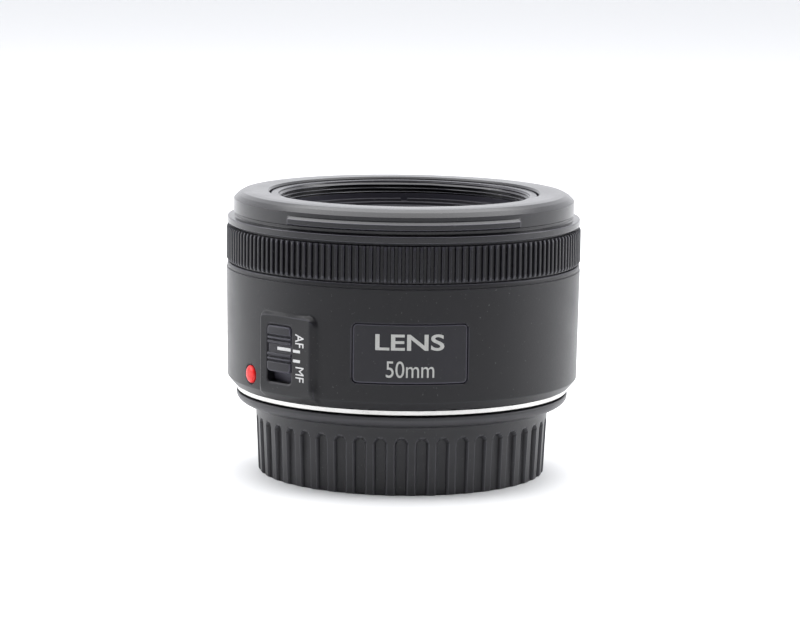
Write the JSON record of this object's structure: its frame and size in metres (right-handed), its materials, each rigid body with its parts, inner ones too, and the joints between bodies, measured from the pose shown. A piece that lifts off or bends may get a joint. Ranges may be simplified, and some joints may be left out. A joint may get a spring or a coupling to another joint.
{
  "type": "camera lens",
  "caption": "Compact autofocus prime lens standing front up on its fluted rear cap, with a ribbed focus ring, a sliding switch and a front barrel that extends to focus.",
  "frame": {"origin": "centre of the foot of the rear cap, on the surface the lens stands on", "axes": "+Z along the optical axis towards the subject, -Y towards the name plate"},
  "size_m": [0.0692, 0.0692, 0.055],
  "materials": {
    "cap_plastic": "fine moulded grain",
    "barrel_plastic": "fine textured",
    "cover_plastic": "fine textured",
    "ring_plastic": "satin ribs",
    "mount_metal": "turned bright metal",
    "plate_plastic": "smooth satin",
    "index_red": "glossy dome",
    "knob_plastic": "satin",
    "inner_plastic": "flocked matt black",
    "trim_plastic": "matt black steps",
    "screw_steel": "zinc plated",
    "contact_gold": "gold plated",
    "board_green": "solder mask",
    "chip_black": "moulded epoxy",
    "motor_steel": "drawn can",
    "bracket_steel": "pressed sheet",
    "gear_plastic": "acetal",
    "cam_plastic": "filled polymer",
    "felt": "felt",
    "blade_black": "dry film black",
    "glass": "coated"
  },
  "bodies": {
    "barrel": {"outer_barrel": "barrel_plastic", "name_plate": "plate_plastic", "index_dot": "index_red", "front_cover": "cover_plastic", "bayonet_mount": "mount_metal", "mount_screws": "screw_steel", "barrel_screws": "screw_steel", "board_screws": "screw_steel", "shroud_screws": "screw_steel", "rear_shroud": "inner_plastic", "contact_block": "inner_plastic", "contact_pins": "contact_gold", "main_frame": "inner_plastic", "ring_carrier": "inner_plastic", "main_board": "board_green", "board_chips": "chip_black", "gear_bracket": "bracket_steel", "gear_axle": "screw_steel", "focus_motor": "motor_steel", "ring_washer": "cam_plastic", "dust_seal": "felt", "cam_retainer": "screw_steel", "ring_sensor": "inner_plastic", "switch_board": "board_green"},
    "cap": {"rear_cap": "cap_plastic"},
    "focus_ring": {"focus_ring": "ring_plastic", "encoder_ring": "inner_plastic"},
    "switch": {"switch_knob": "knob_plastic", "switch_slider": "knob_plastic"},
    "optics": {"inner_barrel": "cover_plastic", "follower_pins": "motor_steel", "trim_ring": "trim_plastic", "front_cell": "inner_plastic", "front_retainer": "inner_plastic", "spacer_tube": "inner_plastic", "spacer_ring": "inner_plastic", "rear_cell": "inner_plastic", "doublet_spacer": "inner_plastic", "rear_retainer": "inner_plastic", "lens_element_1": "glass", "lens_element_2": "glass", "lens_element_3": "glass", "lens_element_4": "glass", "lens_element_5": "glass", "lens_element_6": "glass", "aperture_housing": "inner_plastic", "aperture_cover": "inner_plastic", "aperture_motor": "motor_steel"},
    "cam_ring": {"cam_ring": "cam_plastic"},
    "reduction_gear": {"reduction_gear": "gear_plastic"},
    "motor_pinion": {"motor_pinion": "gear_plastic"},
    "iris_ring": {"aperture_ring": "cam_plastic"},
    "iris_pinion": {"aperture_pinion": "gear_plastic"},
    "blade_1": {"iris_blade_1": "blade_black"},
    "blade_2": {"iris_blade_2": "blade_black"},
    "blade_3": {"iris_blade_3": "blade_black"},
    "blade_4": {"iris_blade_4": "blade_black"},
    "blade_5": {"iris_blade_5": "blade_black"},
    "blade_6": {"iris_blade_6": "blade_black"},
    "blade_7": {"iris_blade_7": "blade_black"}
  },
  "joints": [
    {"name": "focus_ring_turn", "type": "hinge", "parent": "barrel", "child": "focus_ring", "pos_m": [0, 0, 0.0449], "axis": [0, 0, 1], "continuous": true},
    {"name": "focus_extension", "type": "slide", "parent": "barrel", "child": "optics", "axis": [0, 0, 1], "range_m": [0, 0.0105]},
    {"name": "switch_slide", "type": "slide", "parent": "barrel", "child": "switch", "axis": [0, 0, 1], "range_m": [-0.0019, 0]},
    {"name": "rear_cap_twist", "type": "hinge", "parent": "barrel", "child": "cap", "pos_m": [0, 0, 0.0148], "axis": [0, 0, -1], "range_deg": [0, 60]},
    {"name": "iris_ring_turn", "type": "hinge", "parent": "optics", "child": "iris_ring", "pos_m": [0, 0, 0.029], "axis": [0, 0, 1], "range_deg": [0, 12]},
    {"name": "cam_ring_turn", "type": "hinge", "parent": "barrel", "child": "cam_ring", "pos_m": [0, 0, 0.032], "axis": [0, 0, 1], "range_deg": [-80, 0]},
    {"name": "reduction_gear_turn", "type": "hinge", "parent": "barrel", "child": "reduction_gear", "pos_m": [0.0136, 0.02356, 0.03], "axis": [0, 0, 1], "range_deg": [0, 826.67]},
    {"name": "motor_pinion_turn", "type": "hinge", "parent": "barrel", "child": "motor_pinion", "pos_m": [0.00953, 0.02548, 0.024], "axis": [0, 0, 1], "range_deg": [-1653.33, 0]},
    {"name": "iris_pinion_turn", "type": "hinge", "parent": "optics", "child": "iris_pinion", "pos_m": [0.01407, -0.00813, 0.0313], "axis": [0, 0, 1], "range_deg": [-66, 0]},
    {"name": "blade_1_swing", "type": "hinge", "parent": "optics", "child": "blade_1", "pos_m": [0, -0.0177, 0.028], "axis": [0, 0, 1], "range_deg": [0, 33]},
    {"name": "blade_2_swing", "type": "hinge", "parent": "optics", "child": "blade_2", "pos_m": [0.01384, -0.01104, 0.028], "axis": [0, 0, 1], "range_deg": [0, 33]},
    {"name": "blade_3_swing", "type": "hinge", "parent": "optics", "child": "blade_3", "pos_m": [0.01726, 0.00394, 0.028], "axis": [0, 0, 1], "range_deg": [0, 33]},
    {"name": "blade_4_swing", "type": "hinge", "parent": "optics", "child": "blade_4", "pos_m": [0.00768, 0.01595, 0.028], "axis": [0, 0, 1], "range_deg": [0, 33]},
    {"name": "blade_5_swing", "type": "hinge", "parent": "optics", "child": "blade_5", "pos_m": [-0.00768, 0.01595, 0.028], "axis": [0, 0, 1], "range_deg": [0, 33]},
    {"name": "blade_6_swing", "type": "hinge", "parent": "optics", "child": "blade_6", "pos_m": [-0.01726, 0.00394, 0.028], "axis": [0, 0, 1], "range_deg": [0, 33]},
    {"name": "blade_7_swing", "type": "hinge", "parent": "optics", "child": "blade_7", "pos_m": [-0.01384, -0.01104, 0.028], "axis": [0, 0, 1], "range_deg": [0, 33]}
  ],
  "couplings": [
    {"joint": "cam_ring_turn", "follows": "focus_extension", "rad_per_m": -132.98},
    {"joint": "reduction_gear_turn", "follows": "focus_extension", "rad_per_m": 1374.1},
    {"joint": "motor_pinion_turn", "follows": "focus_extension", "rad_per_m": -2748.2},
    {"joint": "iris_pinion_turn", "follows": "iris_ring_turn", "ratio": -5.5},
    {"joint": "blade_1_swing", "follows": "iris_ring_turn", "ratio": 2.75},
    {"joint": "blade_2_swing", "follows": "iris_ring_turn", "ratio": 2.75},
    {"joint": "blade_3_swing", "follows": "iris_ring_turn", "ratio": 2.75},
    {"joint": "blade_4_swing", "follows": "iris_ring_turn", "ratio": 2.75},
    {"joint": "blade_5_swing", "follows": "iris_ring_turn", "ratio": 2.75},
    {"joint": "blade_6_swing", "follows": "iris_ring_turn", "ratio": 2.75},
    {"joint": "blade_7_swing", "follows": "iris_ring_turn", "ratio": 2.75}
  ]
}
